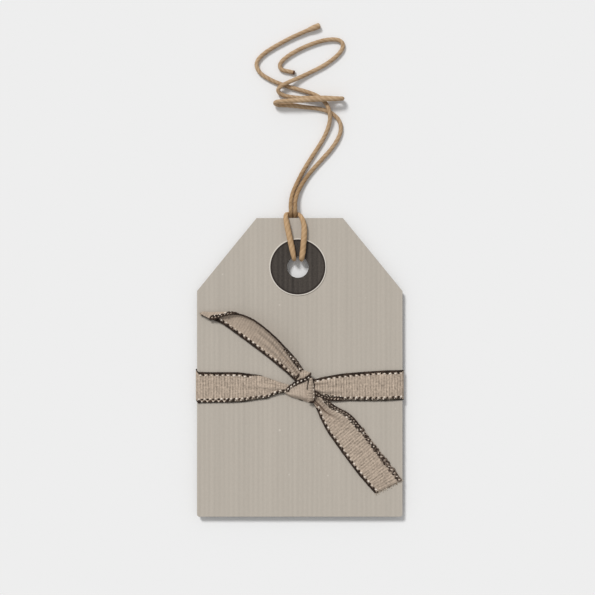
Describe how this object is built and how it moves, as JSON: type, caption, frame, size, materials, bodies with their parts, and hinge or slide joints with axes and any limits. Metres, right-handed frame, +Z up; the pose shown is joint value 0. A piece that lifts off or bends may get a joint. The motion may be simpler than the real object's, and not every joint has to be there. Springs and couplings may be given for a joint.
{
  "type": "gift tag",
  "caption": "Chamfered card tag with a patched eyelet, a woven ribbon tied round it in a simple knot, and a twine hitched through the eyelet for tying it on.",
  "frame": {"origin": "On the table under the middle of the card, ribbon and hitch together, with the tag lying face up", "axes": "+X across the card to the right as seen from the front, +Y along the card towards the eyelet end, +Z up out of the front face"},
  "size_m": [0.0668, 0.1557, 0.0102],
  "materials": {
    "card_stock": "matte",
    "patch_paper": "matte",
    "ribbon_weave": "matte",
    "twine": "matte"
  },
  "bodies": {
    "tag": {"tag_card": "card_stock", "front_patch": "patch_paper", "back_patch": "patch_paper", "twine_hitch": "twine"},
    "ribbon": {"ribbon_back_band": "ribbon_weave", "ribbon_left_run": "ribbon_weave", "ribbon_right_run": "ribbon_weave", "ribbon_knot": "ribbon_weave", "knot_lip": "ribbon_weave"},
    "upper_tail": {"ribbon_upper_tail": "ribbon_weave"},
    "lower_tail": {"ribbon_lower_tail": "ribbon_weave"},
    "twine_tails": {"twine_left_tail": "twine", "twine_right_tail": "twine"}
  },
  "joints": [
    {"name": "ribbon_slide", "type": "slide", "parent": "tag", "child": "ribbon", "axis": [0, 1, 0], "range_m": [-0.03, 0.02]},
    {"name": "upper_tail_lift", "type": "hinge", "parent": "ribbon", "child": "upper_tail", "pos_m": [-0.00095, -0.0037, 0.00341], "axis": [0.682, 0.7314, 0], "range_deg": [0, 60]},
    {"name": "lower_tail_lift", "type": "hinge", "parent": "ribbon", "child": "lower_tail", "pos_m": [0.00567, -0.01287, 0.00321], "axis": [-0.6691, -0.7431, 0], "range_deg": [0, 60]},
    {"name": "twine_swing", "type": "hinge", "parent": "tag", "child": "twine_tails", "pos_m": [-0.00215, 0.04988, 0.00254], "axis": [1, 0, 0], "range_deg": [0, 90]}
  ]
}
